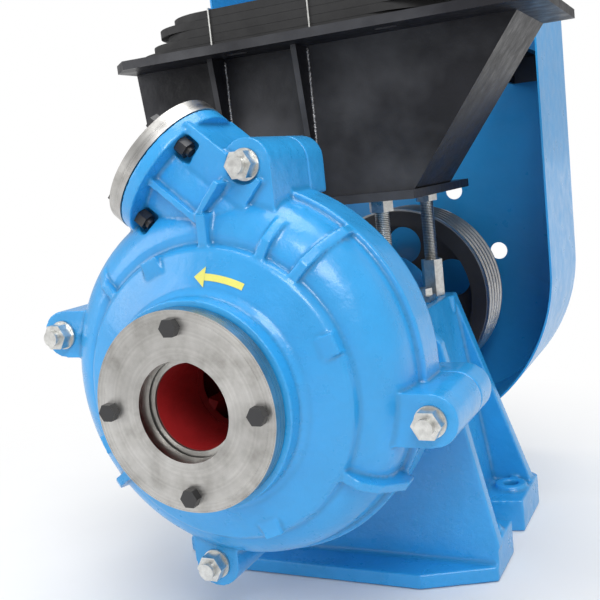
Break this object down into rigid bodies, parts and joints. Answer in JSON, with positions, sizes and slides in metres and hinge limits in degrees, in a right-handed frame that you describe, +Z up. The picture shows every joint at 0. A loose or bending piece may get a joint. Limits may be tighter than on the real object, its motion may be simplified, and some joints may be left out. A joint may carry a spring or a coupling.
{
  "type": "horizontal slurry pump",
  "caption": "Horizontal slurry pump with side intake flange, slanted discharge, bearing base, overhead motor platform, grooved pulley and belt guard.",
  "frame": {"origin": "centre of the intake flange's face, on the shaft axis", "axes": "+Y along the shaft away from the intake, +Z up, +X to the right of someone facing the intake"},
  "size_m": [0.644, 0.915, 1.253],
  "materials": {
    "blue_paint": "gloss over casting texture",
    "black_paint": "gloss",
    "machined_steel": "turned",
    "black_oxide": "black oxide",
    "zinc_steel": "zinc plated",
    "bright_steel": "ground",
    "red_iron": "red primer on white iron",
    "dark_iron": "phosphated",
    "grey_iron": "cast",
    "black_rubber": "matt",
    "packing_fibre": "braided"
  },
  "bodies": {
    "pump_base": {"base": "blue_paint", "frame_plate": "blue_paint", "cover_plate": "blue_paint", "intake_ring": "machined_steel", "intake_seal": "black_rubber", "intake_bolts": "black_oxide", "throatbush": "red_iron", "volute_liner": "red_iron", "liner_insert": "red_iron", "stuffing_box": "grey_iron", "lantern_ring": "bright_steel", "packing_rings": "packing_fibre", "gland_studs": "zinc_steel", "discharge_ring": "machined_steel", "discharge_bolts": "black_oxide", "discharge_nuts": "black_oxide", "cover_bolts": "zinc_steel", "cover_nuts": "zinc_steel", "cover_washers": "zinc_steel", "frame_bolts": "black_oxide", "housing_clamps": "zinc_steel", "clamp_bolts": "zinc_steel", "adjusting_screw": "zinc_steel", "platform_studs": "zinc_steel", "coupling_nuts": "zinc_steel"},
    "bearing_cartridge": {"bearing_housing": "blue_paint", "grease_plug": "black_oxide", "bearing_cover_front": "blue_paint", "bearing_cover_rear": "blue_paint", "bearing_cover_screws": "black_oxide", "bearing_outer_rings": "bright_steel", "bearing_rollers": "bright_steel", "adjusting_nuts": "zinc_steel"},
    "rotor": {"shaft": "bright_steel", "shaft_key": "bright_steel", "shaft_sleeve": "bright_steel", "impeller": "red_iron", "pulley": "dark_iron", "taper_bush": "dark_iron", "bearing_inner_rings": "bright_steel", "labyrinths": "bright_steel"},
    "gland": {"gland": "grey_iron", "gland_nuts": "zinc_steel"},
    "platform": {"motor_platform": "black_paint", "platform_nuts": "zinc_steel", "guard_brackets": "blue_paint", "bracket_bolts": "zinc_steel", "belt_guard": "blue_paint", "v_belts": "black_rubber", "tie_wires": "zinc_steel"}
  },
  "joints": [
    {"name": "bearing_adjust", "type": "slide", "parent": "pump_base", "child": "bearing_cartridge", "axis": [0, 1, 0], "range_m": [-0.001, 0.003]},
    {"name": "shaft_spin", "type": "hinge", "parent": "bearing_cartridge", "child": "rotor", "pos_m": [0, 0.511, 0], "axis": [0, 1, 0], "continuous": true},
    {"name": "gland_slide", "type": "slide", "parent": "pump_base", "child": "gland", "axis": [0, 1, 0], "range_m": [0, 0.01]},
    {"name": "platform_height", "type": "slide", "parent": "pump_base", "child": "platform", "axis": [0, 0, 1], "range_m": [-0.025, 0.03]}
  ]
}
